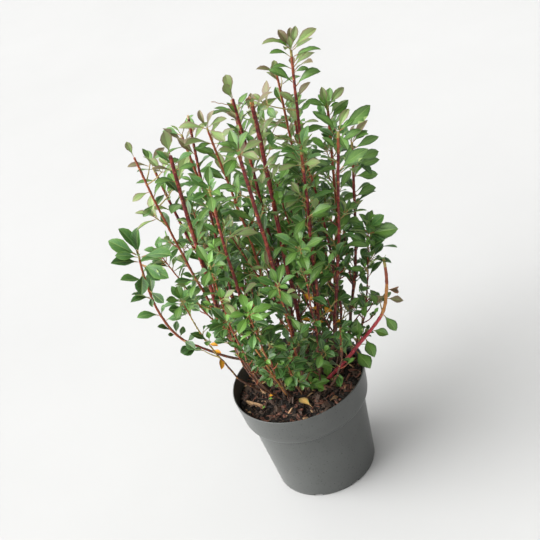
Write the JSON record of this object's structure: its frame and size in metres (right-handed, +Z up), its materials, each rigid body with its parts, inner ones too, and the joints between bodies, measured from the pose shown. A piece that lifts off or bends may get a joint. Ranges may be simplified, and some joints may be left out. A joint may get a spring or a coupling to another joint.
{
  "type": "potted enkianthus shrub",
  "caption": "Young deciduous shrub with slim red canes and whorls of small oval leaves, standing in a tapered grey plastic nursery pot filled with bark potting mix.",
  "frame": {"origin": "middle of the pot's flat underside", "axes": "+Z up along the pot's axis, +X to the right and -Y towards the viewer of the picture, so +Y runs to the back"},
  "size_m": [0.3744, 0.3215, 0.6533],
  "materials": {
    "pot_plastic": "moulded grey polypropylene, satin to matt",
    "potting_mix": "dark peat with reddish bark chips",
    "red_bark": "smooth dark crimson bark with pale leaf scars",
    "leaves": "thin glossy green leaf blades"
  },
  "bodies": {
    "root": {"pot": "pot_plastic", "soil": "potting_mix", "cane_far_left": "red_bark", "cane_left": "red_bark", "cane_left_inner": "red_bark", "cane_left_front": "red_bark", "cane_middle_left": "red_bark", "cane_front": "red_bark", "cane_middle_back": "red_bark", "cane_middle": "red_bark", "cane_right_inner": "red_bark", "cane_tall": "red_bark", "cane_right_rear": "red_bark", "cane_right_front": "red_bark", "cane_far_right": "red_bark", "cane_right": "red_bark", "cane_front_right": "red_bark", "cane_back_right": "red_bark", "cane_back": "red_bark", "cane_back_left": "red_bark", "cane_rear_left": "red_bark", "arch_left_lower": "red_bark", "arch_left_upper": "red_bark", "arch_right_lower": "red_bark", "arch_right_upper": "red_bark", "foliage_far_left": "leaves", "foliage_left": "leaves", "foliage_left_inner": "leaves", "foliage_left_front": "leaves", "foliage_middle_left": "leaves", "foliage_front": "leaves", "foliage_middle_back": "leaves", "foliage_middle": "leaves", "foliage_right_inner": "leaves", "foliage_tall": "leaves", "foliage_right_rear": "leaves", "foliage_right_front": "leaves", "foliage_far_right": "leaves", "foliage_right": "leaves", "foliage_front_right": "leaves", "foliage_back_right": "leaves", "foliage_back": "leaves", "foliage_back_left": "leaves", "foliage_rear_left": "leaves", "foliage_arch_left": "leaves", "foliage_arch_right": "leaves", "foliage_low_front": "leaves", "foliage_low_front_right": "leaves", "foliage_low_front_left": "leaves", "foliage_low_left": "leaves", "foliage_low_far_left": "leaves", "foliage_low_right": "leaves", "foliage_low_low_right": "leaves", "foliage_low_low_left": "leaves", "foliage_low_low_front": "leaves", "foliage_low_back_right": "leaves", "foliage_low_back": "leaves", "foliage_low_back_left": "leaves", "foliage_low_rear_left": "leaves"}
  },
  "joints": []
}
